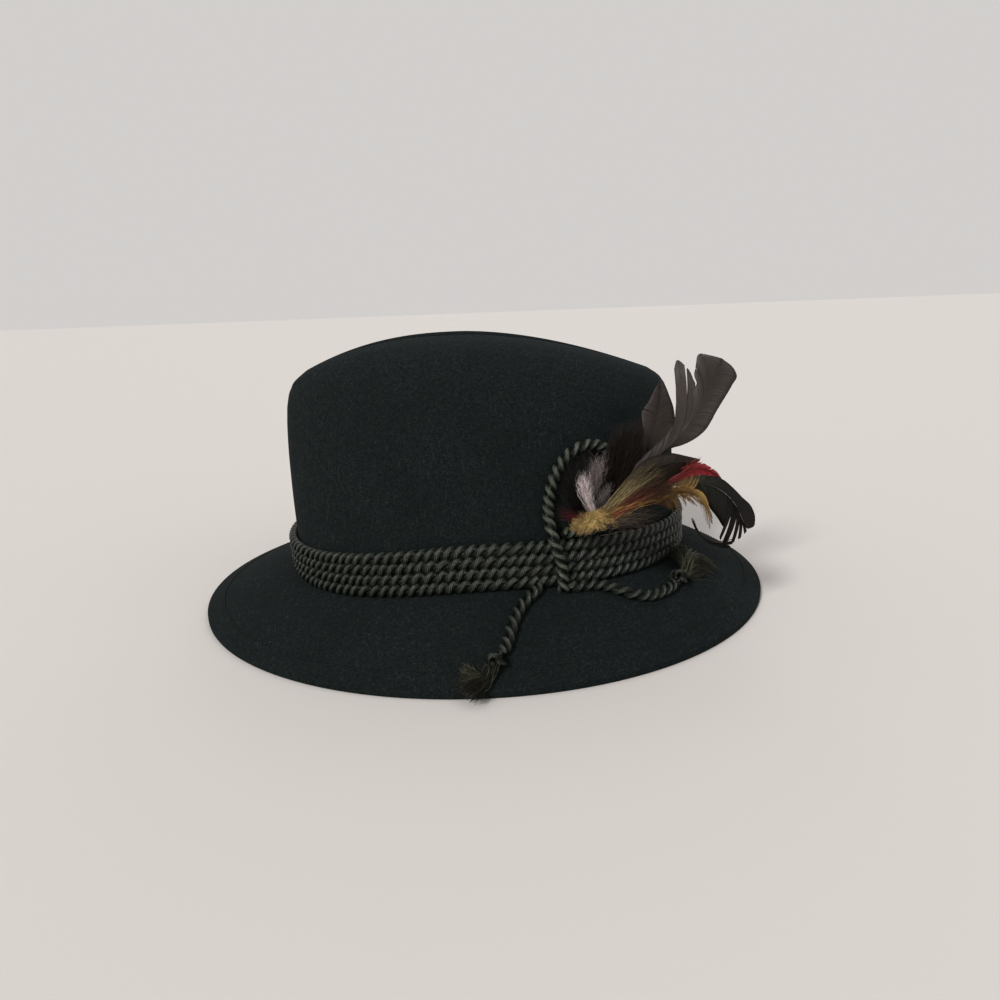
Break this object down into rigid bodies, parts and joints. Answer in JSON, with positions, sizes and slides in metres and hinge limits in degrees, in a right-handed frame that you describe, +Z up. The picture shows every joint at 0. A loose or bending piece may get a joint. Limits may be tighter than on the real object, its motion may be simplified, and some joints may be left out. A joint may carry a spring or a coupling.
{
  "type": "tyrolean hat",
  "caption": "Felt hat with a creased crown and a sloping brim, a band and loop of twisted cord with knotted, frayed tails, and a feather plume at the side.",
  "frame": {"origin": "centre of the brim in plan, on the surface that the brim's edge stands on", "axes": "+X from the front of the hat to its back, along the brim's length; -Y towards the side with the cord's tails and the plume; +Z up"},
  "size_m": [0.3, 0.2723, 0.1362],
  "materials": {
    "felt": "brushed wool felt, very dark blue-green, matt with fine lighter fibre specks",
    "cord": "twisted rayon cord, dark olive green with a soft silky gleam on each strand",
    "frayed_cord": "frayed cord ends, brownish olive, matt",
    "grey_feather": "soft grey feather barbs, matt",
    "brown_feather": "dark brown feather barbs, matt",
    "white_down": "loose off-white down, matt",
    "red_feather": "dyed crimson feather barbs, matt",
    "black_feather": "black curved cock feather with a green and brown sheen",
    "yellow_feather": "yellow and brown feather barbs, matt"
  },
  "bodies": {
    "root": {"felt_body": "felt", "band_row_1": "cord", "band_row_2": "cord", "band_row_3": "cord", "band_row_4": "cord", "cord_loop": "cord", "tail_left": "cord", "knot_left": "cord", "tassel_left": "frayed_cord", "tail_right": "cord", "knot_right": "cord", "tassel_right": "frayed_cord", "plume_head": "yellow_feather", "feather_inner_grey": "grey_feather", "down_brown": "brown_feather", "feather_tall_grey": "grey_feather", "feather_broad_brown": "brown_feather", "down_white": "white_down", "feather_red": "red_feather", "feather_cock": "black_feather", "feather_yellow": "yellow_feather"}
  },
  "joints": []
}
